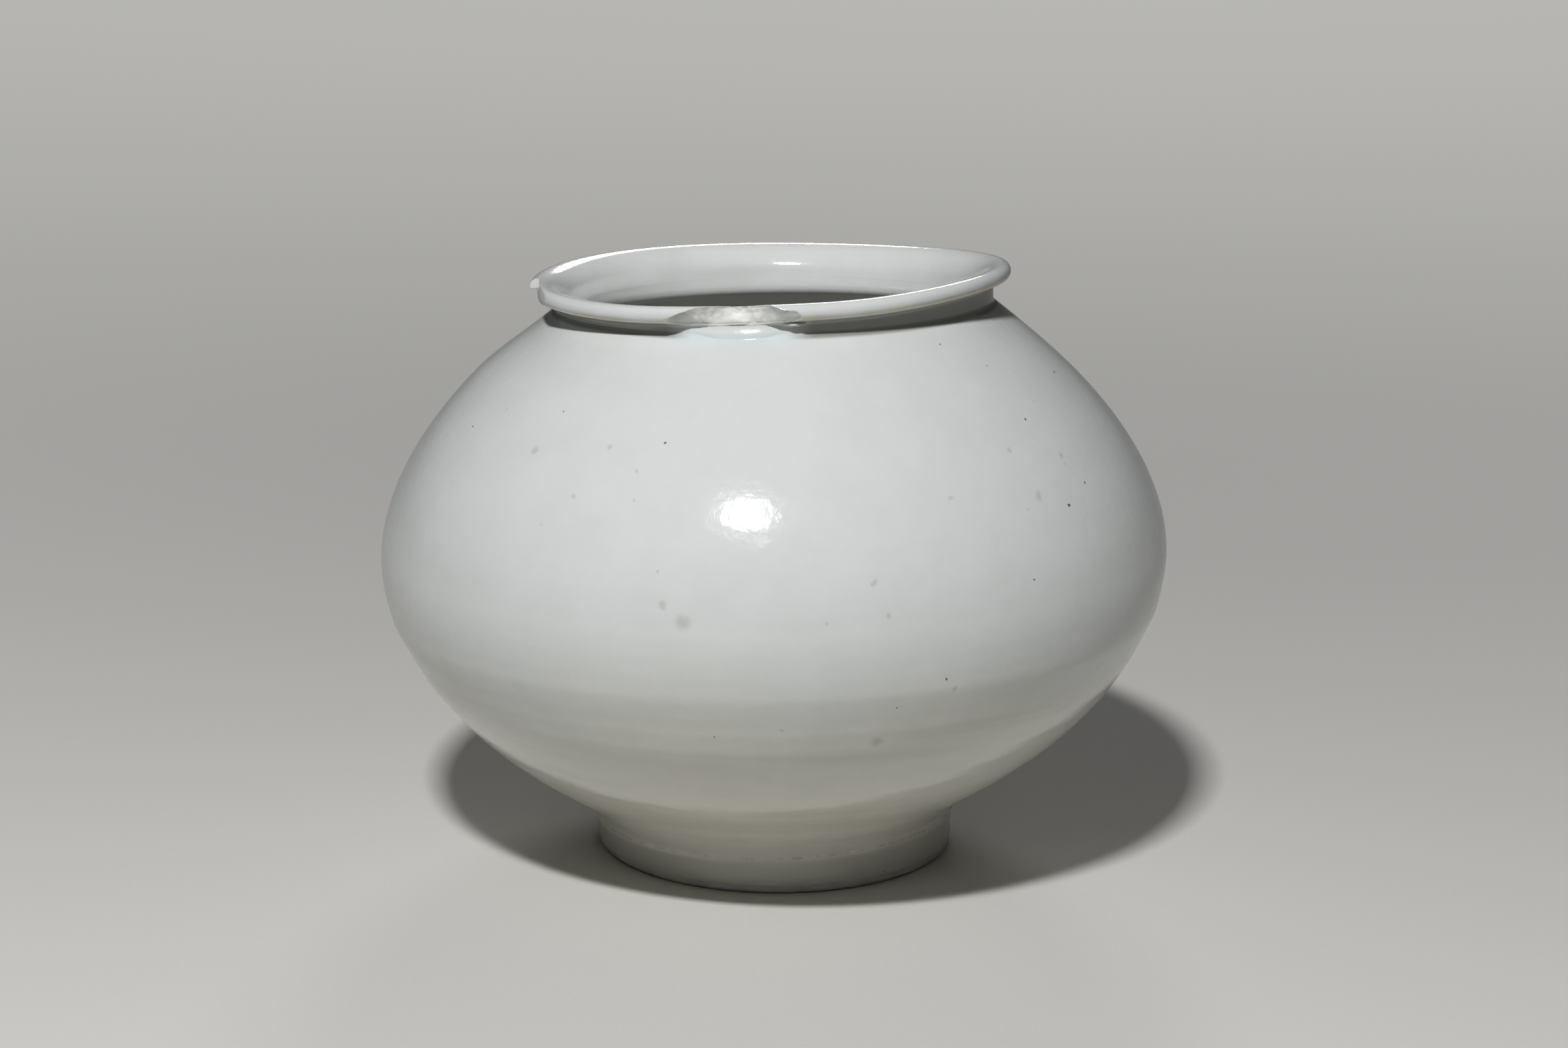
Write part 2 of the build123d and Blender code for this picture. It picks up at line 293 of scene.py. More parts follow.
def spaced(line, steps, low=None, high=None):
    """The same line with evenly spaced points, between two heights if they are given."""
    line = np.asarray(line, float)
    along = np.concatenate(([0], np.cumsum(np.linalg.norm(np.diff(line, axis=0), axis=1))))
    first = 0 if low is None else np.interp(low, line[:, 1], along)
    last = along[-1] if high is None else np.interp(high, line[:, 1], along)
    wanted = np.linspace(first, last, steps)
    return np.column_stack((np.interp(wanted, along, line[:, 0]), np.interp(wanted, along, line[:, 1])))


def raised(line, depth):
    """The line moved square to itself, to the right of its run, by the depth."""
    run = np.gradient(line, axis=0)
    run /= np.linalg.norm(run, axis=1)[:, None]
    return line + np.column_stack((run[:, 1], -run[:, 0])) * depth


def rough(across, up, grain, seed):
    """Value noise: random heights on a square net of this grain, joined by smooth steps."""
    side = 64
    net = np.random.default_rng(seed).uniform(-1, 1, (side, side))
    i, j = np.floor(across / grain).astype(int), np.floor(up / grain).astype(int)
    u, v = eased(0, 1, across / grain - i), eased(0, 1, up / grain - j)
    low = net[i % side, j % side] * (1 - u) + net[(i + 1) % side, j % side] * u
    high = net[i % side, (j + 1) % side] * (1 - u) + net[(i + 1) % side, (j + 1) % side] * u
    return low * (1 - v) + high * v


def outside_line():
    """Outside of the clay from the standing edge to the crest: wall, step of the foot, neck and lip."""
    wall = flowing(OUTSIDE, OUTSIDE_STARTS, OUTSIDE_ENDS, 900)
    wall[:, 0] += FOOT_STEP * (1 - eased(STEP_STARTS, STEP_ENDS, wall[:, 1]))
    neck = np.array((NECK_RADIUS, NECK_HEIGHT))
    middle = LIP_RADIUS - LIP_ROUND
    below = LIP_ROUND / math.cos(LIP_UNDERCUT) + (middle - NECK_RADIUS) * math.tan(LIP_UNDERCUT)
    collar = np.array((NECK_RADIUS, LIP_HEIGHT - below))
    angles = np.linspace(LIP_UNDERCUT - math.pi / 2, math.pi / 2, 80)
    roll = np.column_stack((middle + LIP_ROUND * np.cos(angles), LIP_HEIGHT + LIP_ROUND * np.sin(angles)))
    upright = np.array((0, NECK_ROUND))
    run = wall[-1] - wall[-12]
    slope = run / np.linalg.norm(run) * NECK_ROUND
    under = np.array((math.cos(LIP_UNDERCUT), math.sin(LIP_UNDERCUT))) * NECK_ROUND
    wall = wall[wall[:, 1] < (neck - slope)[1] - 0.05]
    return np.vstack((wall, bent(neck - slope, neck, neck + upright, 14),
                      bent(collar - upright, collar, collar + under, 14), roll))


def inside_line():
    """Inside of the clay from the crest to the middle of the floor: flared funnel, throat and wall."""
    funnel = flowing(FUNNEL, FUNNEL_STARTS, FUNNEL_ENDS, 200)
    wall = flowing(INSIDE, INSIDE_STARTS, INSIDE_ENDS, 1200)
    return np.vstack((funnel, bent(FUNNEL[-1], THROAT, INSIDE[0], 16)[1:-1], wall))


def rim_dip(turn, bearing):
    """How far the rim sinks: sines and cosines of one and two turns of the mouth, and two shallow bells."""
    dip = DIP_LEVEL - DIP_LEFT * np.sin(turn) + DIP_FRONT * np.cos(turn) + DIP_OVAL * np.cos(2 * turn)
    skew = DIP_SKEW + DIP_SKEW_BACK * (1 - np.cos(turn))
    return dip - skew * np.sin(2 * turn) + bells(FRONT_DIPS, bearing)


def thrown(radius, height, bearing):
    """Points of the jar in metres. The bearing turns each radius about the axis, and the whole then leans.

    Slow cosine waves round the jar make it a little out of round, as drying and firing leave it.
    Fine and coarse sine rings follow the wheel, strongest on the trimmed lower half. A low bell with a
    hollow one under it marks the joint of the two bowls. The rim dips to the front and the left, where
    it is also drawn in, and the foot sits a little to the left of the body's axis.
    """
    turn = np.radians(bearing)
    waves = sum(depth * np.cos(turns * turn + start) for turns, depth, start in WAVES)
    fine = FINE_RING * np.sin(height * math.tau / FINE_PITCH + FINE_SWAY * np.sin(turn))
    coarse = COARSE_RING * np.sin(height * math.tau / COARSE_PITCH + turn + COARSE_START)
    trimmed = eased(*RINGS_START, height) * (1 - RINGS_FADED * eased(*RINGS_FADE, height))
    rings = (fine + coarse) * trimmed * (1 - eased(*RINGS_END, height))
    uneven = waves * eased(*WAVES_GROW, height) + rings + bells(JOINT_RIDGES, height)
    rim = eased(NECK_HEIGHT, RIM_FULL, height)
    left = np.clip(-np.sin(turn), 0, 1) ** 2
    radius = radius + uneven * eased(0, AXIS_CALM, radius) - RIM_DRAWN * rim * (1 - np.sin(turn))
    radius = radius - NECK_DRAWN * left * eased(*NECK_BEND, height) * (1 - rim)
    height = height - rim * rim_dip(turn, bearing)
    across = radius * np.sin(turn)
    axis = AXIS_FOOT - FOOT_SHIFT * (1 - eased(0, FOOT_SHIFT_ENDS, height))
    level = eased(0, FOOT_HEIGHT, height)
    return MM * np.stack((
        axis + across * math.cos(LEAN) - height * math.sin(LEAN),
        -radius * np.cos(turn),
        across * math.sin(LEAN) * level + height * math.cos(LEAN),
    ), axis=-1)


def even_bearings(columns):
    """Bearings at equal steps all the way round, starting at the back."""
    return np.linspace(-180, 180, columns, endpoint=False)


def close_bearings(columns):
    """Bearings that crowd together at the breaks in the lip and are wide apart elsewhere."""
    fine = np.linspace(-180, 180, 7201)
    crowd = FEW + sum(much * np.exp(-((fine - middle) / width) ** 4) for middle, width, much in CROWDS)
    share = np.concatenate(([0], np.cumsum((crowd[1:] + crowd[:-1]) / 2)))
    return np.interp(np.linspace(0, share[-1], columns, endpoint=False), share, fine)


def crest_height(radius):
    """Height of the clay in the flared funnel of the mouth at a radius: read off the inside line."""
    line = inside_line()
    funnel = line[line[:, 1] > NECK_HEIGHT][::-1]
    return np.interp(radius, funnel[:, 0], funnel[:, 1])


def standing_radius(height, bearing):
    """Radius that the lip is broken back to: a long chip, upright in its middle and undercut at its ends.

    It rises outwards with a power of the share of the way to its ends. The size of a noise, which has
    creases where it passes through nothing, makes it lumpy, and another noise makes its edge uneven.
    """
    above = height - NECK_HEIGHT
    along = arc_from(CHIP_BEARING, bearing)

    def noise(grain, seed):
        """Noise over the face of the chip, moved so that it starts well inside its net."""
        return rough(along + 90, above + 20, grain, seed)

    lumps = sum(depth * np.abs(noise(grain, seed)) for grain, depth, seed in CHIP_LUMPS)
    grit_grain, grit_depth, grit_seed = CHIP_GRIT
    edge_grain, edge_share, edge_seed = CHIP_EDGE
    lumps = lumps + grit_depth * noise(grit_grain, grit_seed)
    share = np.abs(along) / np.where(along < 0, CHIP_LEFT, CHIP_RIGHT)
    share = share * (1 + np.where(along < 0, CHIP_LEFT_SLANT, CHIP_RIGHT_SLANT) * (above - CHIP_SLANT_LEVEL))
    share = np.clip(share * (1 + edge_share * noise(edge_grain, edge_seed)), 0, 4)
    tilt = (CHIP_TILT - CHIP_END_TILT * share) * (CHIP_TOP - above)
    chip = NECK_RADIUS + CHIP_STANDS + tilt + CHIP_DEPTH * share ** CHIP_POWER + lumps
    return chip + CLEAR_OF_LIP * eased(*CHIP_STOPS, above)


def nicked_radius(height, bearing):
    """Radius that the glaze covers at the left, where the lip was nicked before it was fired.

    A step faces the front, lies further back low on the lip, and the bulging face in front of it runs out
    along the lip with a power of the distance.
    """
    step = NICK_BEARING - BEAK_UNDERCUT * eased(*BEAK_UNDERSIDE, height)
    behind = -arc_from(step, bearing)
    before = arc_from(NICK_BEARING, bearing)
    bulge = NICK_BULGE * np.clip((height - NICK_BULGE_HEIGHT) / NICK_BULGE_RISE, -1, 1) ** 2
    face = NICK_RADIUS - bulge + NICK_DEPTH * np.clip(before / NICK_REACH, 0, None) ** NICK_POWER
    return face + BEAK_SLOPE * np.clip(behind, 0, None) + CLEAR_OF_LIP * eased(*NICK_STOPS, height)


def pooled_radius(height, bearing):
    """Radius that the glaze fills out to: a pool in the neck's corner under the chip, and a scar beside it.

    The pool deepens with the square of the way down from its top, and the scar is a low dome under the lip.
    """
    along = arc_from(CHIP_BEARING, bearing)
    depth = np.clip((POOL_TOP - height) / POOL_FALL, 0, POOL_DEEPEST) ** 2
    depth = depth + POOL_EDGE * eased(*POOL_EDGE_BAND, height)
    pool = NECK_RADIUS + GLAZE + depth * np.exp(-(along / POOL_REACH) ** 4)
    beside = arc_from(SCAR_BEARING, bearing) / SCAR_WIDTH
    scar = SCAR_RADIUS - SCAR_DEPTH * (beside ** 2 + ((height - SCAR_HEIGHT) / SCAR_RISE) ** 2)
    return np.maximum(pool, scar)


def broken_clay(radius, height, bearing):
    """Clay left by the chip and the nick, with its crest on the funnel."""
    radius = np.minimum(radius, nicked_radius(height, bearing))
    radius = np.minimum(radius, standing_radius(height, bearing))
    return radius, np.minimum(height, crest_height(radius))


def broken_glaze(radius, height, bearing):
    """Outer coat that follows the nick and fills the neck, and hides in the clay where the lip is broken."""
    outside = outside_line()
    limit = standing_radius(height, bearing)
    under = np.interp(height, outside[:, 1], outside[:, 0])
    front = radius > under + GLAZE / 5
    radius = np.minimum(radius, nicked_radius(height, bearing) + np.where(front, GLAZE, 0))
    radius = np.where(front, np.maximum(radius, pooled_radius(height, bearing)), radius)
    gone = limit < under
    radius = np.minimum(radius, np.where(gone, limit - SUNK, limit))
    return radius, np.where(gone, np.minimum(height, crest_height(radius) - SUNK), height)


def broken_lining(radius, height, bearing):
    """Inner coat that ends at the edge of the chip and of the nick."""
    limit = np.minimum(standing_radius(height, bearing), nicked_radius(height, bearing) + GLAZE)
    kept = np.minimum(radius, limit)
    return kept, np.where(limit < radius, np.minimum(height, crest_height(kept) + GLAZE), height)


def turned(name, part, material, section, bearings, broken=None):
    """A closed skin: each point of the section, carried round the axis.

    The section runs up the outside and down the inside. One that starts and ends on the axis closes
    there in two poles. Attributes of the points keep the height, the depth of any break, and how squarely
    a point faces the way the chip does.
    """
    section = np.asarray(section, float)
    poles = section[0, 0] < 1e-6 and section[-1, 0] < 1e-6
    rows, columns = len(section), len(bearings)
    radius = np.repeat(section[:, :1], columns, axis=1)
    height = np.repeat(section[:, 1:], columns, axis=1)
    bearing = np.repeat(bearings[None, :], rows, axis=0)
    whole = radius.copy()
    if broken is not None:
        radius, height = broken(radius, height, bearing)
    points = thrown(radius, height, bearing).reshape(-1, 3)
    i = np.arange(rows - 1 if poles else rows)[:, None]
    j = np.arange(columns)[None, :]
    here, onward = i * columns, (i + 1) % rows * columns
    right = (j + 1) % columns
    faces = np.stack((here + j, here + right, onward + right, onward + j), axis=-1)
    if poles:
        faces = faces[1:-1]
    quads = faces.reshape(-1, 4)
    loops = quads.ravel()
    starts = np.arange(len(quads)) * 4
    if poles:
        first = np.stack((np.zeros(columns, int), columns + right[0], columns + j[0]), axis=-1)
        top = (rows - 2) * columns
        last = np.stack((top + j[0], top + right[0], np.full(columns, (rows - 1) * columns)), axis=-1)
        fans = np.vstack((first, last))
        starts = np.concatenate((starts, len(loops) + np.arange(len(fans)) * 3))
        loops = np.concatenate((loops, fans.ravel()))
        kept = np.concatenate(([0], np.arange(columns, (rows - 1) * columns), [(rows - 1) * columns]))
        place = np.zeros(rows * columns, int)
        place[kept] = np.arange(len(kept))
        loops, points = place[loops], points[kept]
        height, whole, radius, bearing = [grid.ravel()[kept] for grid in (height, whole, radius, bearing)]
    mesh = bpy.data.meshes.new(name)
    mesh.vertices.add(len(points))
    mesh.vertices.foreach_set("co", points.ravel())
    mesh.loops.add(len(loops))
    mesh.loops.foreach_set("vertex_index", loops)
    mesh.polygons.add(len(starts))
    mesh.polygons.foreach_set("loop_start", starts)
    mesh.polygons.foreach_set("use_smooth", np.ones(len(starts), bool))
    facing = np.cos(np.radians(bearing - CHIP_BEARING))
    for label, values in (("height", height), ("depth", whole - radius), ("facing", facing)):
        mesh.attributes.new(label, "FLOAT", "POINT").data.foreach_set("value", values.ravel())
    mesh.update(calc_edges=True)
    mesh.validate()
    mesh.set_sharp_from_angle(angle=SHARP)
    mesh.materials.append(material)
    piece = bpy.data.objects.new(name, mesh)
    bpy.context.scene.collection.objects.link(piece)
    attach(piece, "root")
    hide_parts(part)


def node(tree, kind, inputs=None, **settings):
    """Adds a node of a kind with its settings. Each input takes a value, or the socket that feeds it."""
    made = tree.nodes.new(kind)
    for name, value in settings.items():
        setattr(made, name, value)
    for key, value in (inputs or {}).items():
        if isinstance(value, bpy.types.NodeSocket):
            tree.links.new(value, made.inputs[key])
        else:
            made.inputs[key].default_value = value
    return made


def fresh_material(name):
    """An empty material with its shader and its output."""
    material = bpy.data.materials.new(name)
    material.use_nodes = True
    tree = material.node_tree
    tree.nodes.clear()
    shader = node(tree, "ShaderNodeBsdfPrincipled")
    node(tree, "ShaderNodeOutputMaterial", {"Surface": shader.outputs["BSDF"]})
    return material, tree, shader


def marked(tree, place, marks, stray):
    """How strongly any of the marks shows: 1 in the middle of one, falling to 0 at its radius.

    Noise shifts the place by up to half of the stray, in millimetres, so that no mark is a plain disc.
    """
    line = outside_line()
    shown = 0.0
    noise = node(tree, "ShaderNodeTexNoise", {"Vector": place, "Scale": grains(stray / 0.7), "Detail": 2})
    shift = node(tree, "ShaderNodeVectorMath", {0: noise.outputs["Color"], 1: [stray * MM] * 3, 2: place},
                 operation="MULTIPLY_ADD")
    place = node(tree, "ShaderNodeVectorMath", {0: shift.outputs[0], 1: [stray * MM / 2] * 3},
                 operation="SUBTRACT").outputs[0]
    for bearing, height, size in marks:
        spot = thrown(np.interp(height, line[:, 1], line[:, 0]) + GLAZE, height, bearing)
        away = node(tree, "ShaderNodeVectorMath", {0: place, 1: spot.tolist()}, operation="DISTANCE")
        near = node(tree, "ShaderNodeMapRange", {
            "Value": away.outputs["Value"], "From Min": size * MM, "From Max": MARK_CORE * size * MM},
                    interpolation_type="SMOOTHSTEP")
        shown = node(tree, "ShaderNodeMath", {0: near.outputs[0], 1: shown}, operation="MAXIMUM").outputs[0]
    return shown


def both(tree, one, other):
    """Two amounts multiplied, so that a thing shows only where both do."""
    return node(tree, "ShaderNodeMath", {0: one, 1: other}, operation="MULTIPLY").outputs[0]


def band(tree, height, low, high, blur):
    """1 between two heights on the jar, falling to 0 over the blur on either side."""
    up = node(tree, "ShaderNodeMapRange", {"Value": height, "From Min": low - blur, "From Max": low},
              interpolation_type="SMOOTHSTEP")
    down = node(tree, "ShaderNodeMapRange", {"Value": height, "From Min": high + blur, "From Max": high},
                interpolation_type="SMOOTHSTEP")
    return both(tree, up.outputs[0], down.outputs[0])


def stained_and_shaded(tree, colour, amount, stain_and_shade, strength):
    """The colour with a layer laid over it, by an amount and at most by the strength.

    The layer is a stain for some marks and painted shade for others.
    """
    part = node(tree, "ShaderNodeMath", {0: amount, 1: strength}, operation="MULTIPLY", use_clamp=True)
    return node(tree, "ShaderNodeMix", {"Factor": part.outputs[0], 6: colour, 7: linear(stain_and_shade)},
                data_type="RGBA").outputs[2]


def outside_stains_and_shade(tree, place, height, cloudy, colour):
    """What only the outer glaze shows.

    From the bottom up: painted shade that greys the foot where the belly shades it, grit along its step,
    creamy streaks on the lower body, painted shade in the neck under the lip, a blue pool where the chip
    lets in the light, and olive along the lip. Smudges and specks lie over it all.
    """
    stretched = node(tree, "ShaderNodeMapping", {
        "Vector": place, "Rotation": (0, -LEAN, 0),
        "Scale": (grains(STREAK_LENGTH), grains(STREAK_LENGTH), grains(STREAK_HEIGHT))})
    streaks = node(tree, "ShaderNodeTexNoise", {"Vector": stretched.outputs[0], "Scale": 1, "Detail": 2})
    streak = node(tree, "ShaderNodeMapRange", {"Value": streaks.outputs["Fac"], "From Min": 0.5,
                                               "From Max": 0.75})
    lower = both(tree, streak.outputs[0], band(tree, height, *LOWER_STREAKS))
    colour = stained_and_shaded(tree, colour, lower, "B5B092", 0.3)
    olive = both(tree, band(tree, height, *OLIVE_EDGE), cloudy)
    colour = stained_and_shaded(tree, colour, olive, "C2BA93", 0.8)
    facing = node(tree, "ShaderNodeAttribute", attribute_name="facing").outputs["Fac"]
    lit = node(tree, "ShaderNodeMapRange", {"Value": facing, "From Min": OPEN_FROM, "From Max": OPEN_FULLY})
    pool = both(tree, band(tree, height, *BLUE_POOL), lit.outputs[0])
    colour = stained_and_shaded(tree, colour, pool, "BCCDD3", 0.4)
    # Painted shade: the neck is darkened all round under the lip, except where the chip lets the light in
    shaded = node(tree, "ShaderNodeMapRange", {"Value": facing, "From Min": OPEN_FULLY,
                                               "From Max": OPEN_FROM})
    for heights, strength in NECK_PAINTED_SHADE:
        neck_shade = both(tree, band(tree, height, *heights), shaded.outputs[0])
        colour = stained_and_shaded(tree, colour, neck_shade, "6E6C66", strength)
    # Painted shade: the foot is greyed where the belly shades it
    colour = stained_and_shaded(tree, colour, band(tree, height, *FOOT_PAINTED_SHADE), "A3A39D", 0.55)
    grime = node(tree, "ShaderNodeTexNoise", {"Vector": place, "Scale": grains(GRIME), "Detail": 4,
                                              "Roughness": 0.7})
    patch = node(tree, "ShaderNodeMapRange", {"Value": grime.outputs["Fac"], "From Min": 0.45,
                                              "From Max": 0.62})
    grit = both(tree, band(tree, height, *STEP_GRIT), patch.outputs[0])
    colour = stained_and_shaded(tree, colour, grit, "6A6558", 0.35)
    colour = stained_and_shaded(tree, colour, marked(tree, place, SMUDGES, SMUDGE_STRAY), "8F9184", 0.35)
    return stained_and_shaded(tree, colour, marked(tree, place, SPECKS, SPECK_STRAY), "2E2B25", 0.95)


def glazed_porcelain(name, white, outside):
    """Clear glaze over white porcelain: bluish white above, creamier below, glossy with a faint orange peel.

    Outside it carries stains, smudges and specks of its own, and painted shade at the foot and in the neck.
    Inside it is greyed below the throat as painted shade.
    """
    material, tree, shader = fresh_material(name)
    place = node(tree, "ShaderNodeTexCoord").outputs["Object"]
    height = node(tree, "ShaderNodeAttribute", attribute_name="height").outputs["Fac"]
    cloud = node(tree, "ShaderNodeTexNoise", {"Vector": place, "Scale": grains(CLOUD), "Detail": 4,
                                              "Roughness": 0.55})
    sway = node(tree, "ShaderNodeMath", {0: cloud.outputs["Fac"], 1: CREAM_SWAY, 2: -CREAM_SWAY / 2},
                operation="MULTIPLY_ADD")
    level = node(tree, "ShaderNodeMath", {0: height, 1: sway.outputs[0]}, operation="ADD")
    cream_full, cream_gone = CREAM_ENDS
    warm = node(tree, "ShaderNodeMapRange", {"Value": level.outputs[0], "From Min": cream_full,
                                             "From Max": cream_gone}, interpolation_type="SMOOTHSTEP")
    colour = node(tree, "ShaderNodeMix", {"Factor": warm.outputs[0], 6: linear("D6D4C8"), 7: linear(white)},
                  data_type="RGBA").outputs[2]
    mottle = node(tree, "ShaderNodeTexNoise", {"Vector": place, "Scale": grains(MOTTLE), "Detail": 5,
                                               "Roughness": 0.6})
    cloudy = node(tree, "ShaderNodeMapRange", {"Value": mottle.outputs["Fac"], "From Min": 0.35,
                                               "From Max": 0.7})
    colour = stained_and_shaded(tree, colour, cloudy.outputs[0], "BCBFBB", 0.22)
    if outside:
        colour = outside_stains_and_shade(tree, place, height, cloudy.outputs[0], colour)
    else:
        # Painted shade: the inside below the throat is greyed, where little light gets in
        colour = stained_and_shaded(tree, colour, band(tree, height, *INNER_PAINTED_SHADE), "A5A59F", 0.6)
    peel = node(tree, "ShaderNodeTexNoise", {"Vector": place, "Scale": grains(PEEL), "Detail": 3,
                                             "Roughness": 0.5})
    bump = node(tree, "ShaderNodeBump", {"Height": peel.outputs["Fac"], "Strength": 0.25,
                                         "Distance": BUMP * MM})
    tree.links.new(colour, shader.inputs["Base Color"])
    tree.links.new(bump.outputs["Normal"], shader.inputs["Normal"])
    shader.inputs["Roughness"].default_value = 0.12
    shader.inputs["IOR"].default_value = 1.5
    return material


def bare_porcelain():
    """Fired clay without glaze: grey where ground, scuffed or shallow in a break, whiter deep in it.

    The whiteness grows with the depth of the break in millimetres. The grey at the chip's shallow, undercut
    ends is partly wear and partly painted shade, and grey blots of wear lie over it.
    """
    material, tree, shader = fresh_material("bare_porcelain")
    place = node(tree, "ShaderNodeTexCoord").outputs["Object"]
    depth = node(tree, "ShaderNodeAttribute", attribute_name="depth").outputs["Fac"]
    # Painted shade in part: the shallow, undercut ends of the chip are made greyer than its deep middle
    fresh = node(tree, "ShaderNodeMapRange", {"Value": depth, "From Min": FRESH_FROM,
                                              "From Max": FRESH_FULLY}, interpolation_type="SMOOTHSTEP")
    grain = node(tree, "ShaderNodeTexNoise", {"Vector": place, "Scale": grains(CLAY_GRAIN), "Detail": 4,
                                              "Roughness": 0.65})
    dull_and_shaded = node(tree, "ShaderNodeMix", {"Factor": grain.outputs["Fac"], 6: linear("B6B5B1"),
                                        7: linear("CCCBC7")}, data_type="RGBA")
    colour = node(tree, "ShaderNodeMix", {"Factor": fresh.outputs[0], 6: dull_and_shaded.outputs[2],
                                          7: linear("E0E0DD")}, data_type="RGBA")
    blot = node(tree, "ShaderNodeTexNoise", {"Vector": place, "Scale": grains(CLAY_BLOT), "Detail": 3,
                                             "Roughness": 0.6})
    worn = node(tree, "ShaderNodeMapRange", {"Value": blot.outputs["Fac"], "From Min": 0.47,
                                             "From Max": 0.62})
    colour = stained_and_shaded(tree, colour.outputs[2], worn.outputs[0], "A8A8A5", 0.5)
    bump = node(tree, "ShaderNodeBump", {"Height": grain.outputs["Fac"], "Strength": 0.25,
                                         "Distance": BUMP * MM})
    tree.links.new(colour, shader.inputs["Base Color"])
    tree.links.new(bump.outputs["Normal"], shader.inputs["Normal"])
    shader.inputs["Roughness"].default_value = 0.7
    return material


def studio_paper():
    """Matt pale paper, a faint warm grey. For the camera alone it is lifted where the light falls off.

    The lift is the square of the distance over the same square plus that of the glow's reach.
    """
    material, tree, shader = fresh_material("floor_paper")
    place = node(tree, "ShaderNodeTexCoord").outputs["Object"]
    fibre = node(tree, "ShaderNodeTexNoise", {"Vector": place, "Scale": grains(PAPER_FIBRE), "Detail": 3})
    colour = node(tree, "ShaderNodeMix", {"Factor": fibre.outputs["Fac"], 6: linear("C6C5C2"),
                                          7: linear("CCCBC8")}, data_type="RGBA")
    away = node(tree, "ShaderNodeVectorMath", {0: place}, operation="LENGTH").outputs["Value"]
    square = both(tree, away, away)
    reach = node(tree, "ShaderNodeMath", {0: square, 1: GLOW_REACH ** 2}, operation="ADD").outputs[0]
    lift = node(tree, "ShaderNodeMath", {0: square, 1: reach}, operation="DIVIDE").outputs[0]
    seen = node(tree, "ShaderNodeLightPath").outputs["Is Camera Ray"]
    tree.links.new(colour.outputs[2], shader.inputs["Base Color"])
    tree.links.new(both(tree, both(tree, lift, seen), FLOOR_GLOW), shader.inputs["Emission Strength"])
    shader.inputs["Emission Color"].default_value = linear("FBFAF6")
    shader.inputs["Roughness"].default_value = 0.9
    shader.inputs["Specular IOR Level"].default_value = 0.2
    return material


def paper_floor():
    """Flat paper under the jar, a grid in metres that runs on far enough to fill every view."""
    side = np.linspace(-FLOOR_REACH, FLOOR_REACH, FLOOR_POINTS)
    across, back = np.meshgrid(side, side)
    points = np.stack((across, back, np.zeros_like(across)), axis=-1).reshape(-1, 3)
    i = np.arange(FLOOR_POINTS - 1)[:, None] * FLOOR_POINTS
    j = np.arange(FLOOR_POINTS - 1)[None, :]
    near = i + j
    faces = np.stack((near, near + 1, near + 1 + FLOOR_POINTS, near + FLOOR_POINTS), axis=-1).reshape(-1, 4)
    mesh = bpy.data.meshes.new("studio_floor")
    mesh.from_pydata(points.tolist(), [], faces.tolist())
    mesh.materials.append(studio_paper())
    paper = bpy.data.objects.new("studio_floor", mesh)
    bpy.context.scene.collection.objects.link(paper)


def direction(elevation, bearing):
    """The way to a lamp, from its elevation and its bearing."""
    rise, turn = math.radians(elevation), math.radians(bearing)
    return Vector((math.sin(turn) * math.cos(rise), -math.cos(turn) * math.cos(rise), math.sin(rise)))


def hung(name, lamp, towards):
    """Puts a lamp in the scene, facing back along the way to it."""
    holder = bpy.data.objects.new(name, lamp)
    holder.rotation_euler = towards.to_track_quat("Z", "Y").to_euler()
    bpy.context.scene.collection.objects.link(holder)
    return holder


def soft_light(name, elevation, bearing, distance, width, height, power):
    """A soft box that faces the front of the shoulder from a bearing and an elevation."""
    lamp = bpy.data.lights.new(name, "AREA")
    lamp.shape = "RECTANGLE"
    lamp.size = width
    lamp.size_y = height
    lamp.energy = power
    towards = direction(elevation, bearing)
    hung(name, lamp, towards).location = Vector(LIT_PLACE) + towards * distance


def far_light(name, elevation, bearing, breadth, strength):
    """A weak light from far off, even over the whole floor, with soft edges to its shadow."""
    lamp = bpy.data.lights.new(name, "SUN")
    lamp.angle = math.radians(breadth)
    lamp.energy = strength
    hung(name, lamp, direction(elevation, bearing))


def studio_light():
    """A soft box above the camera, a small one just below that, a weak far light behind, and a dim room."""
    soft_light("key_light", *KEY_LIGHT)
    soft_light("low_light", *LOW_LIGHT)
    far_light("back_light", *BACK_LIGHT)
    world = bpy.data.worlds.new("room")
    world.use_nodes = True
    tree = world.node_tree
    tree.nodes.clear()
    seen = node(tree, "ShaderNodeLightPath").outputs["Is Camera Ray"]
    dim = node(tree, "ShaderNodeBackground", {"Color": linear("BCBCBC"), "Strength": ROOM_STRENGTH})
    pale = node(tree, "ShaderNodeBackground", {"Color": linear("AEADAB")})
    mixed = node(tree, "ShaderNodeMixShader", {0: seen, 1: dim.outputs[0], 2: pale.outputs[0]})
    node(tree, "ShaderNodeOutputWorld", {"Surface": mixed.outputs[0]})
    bpy.context.scene.world = world


def photo_camera():
    """Camera at the photograph's own place, straight in front and looking down at the jar."""
    lens = bpy.data.cameras.new("photo_camera")
    lens.sensor_width = SENSOR
    lens.lens = FOCAL_LENGTH
    lens.clip_end = FARTHEST
    camera = bpy.data.objects.new("photo_camera", lens)
    place = Matrix.Translation((AXIS_FOOT * MM, -CAMERA_AWAY, CAMERA_HEIGHT))
    yaw = Matrix.Rotation(-math.radians(YAW), 4, "Z")
    pitch = Matrix.Rotation(math.pi / 2 - math.radians(PITCH), 4, "X")
    camera.matrix_world = place @ yaw @ pitch @ Matrix.Rotation(math.radians(ROLL), 4, "Z")
    bpy.context.scene.collection.objects.link(camera)
    bpy.context.scene.camera = camera
    bpy.context.scene.view_settings.view_transform = "Standard"


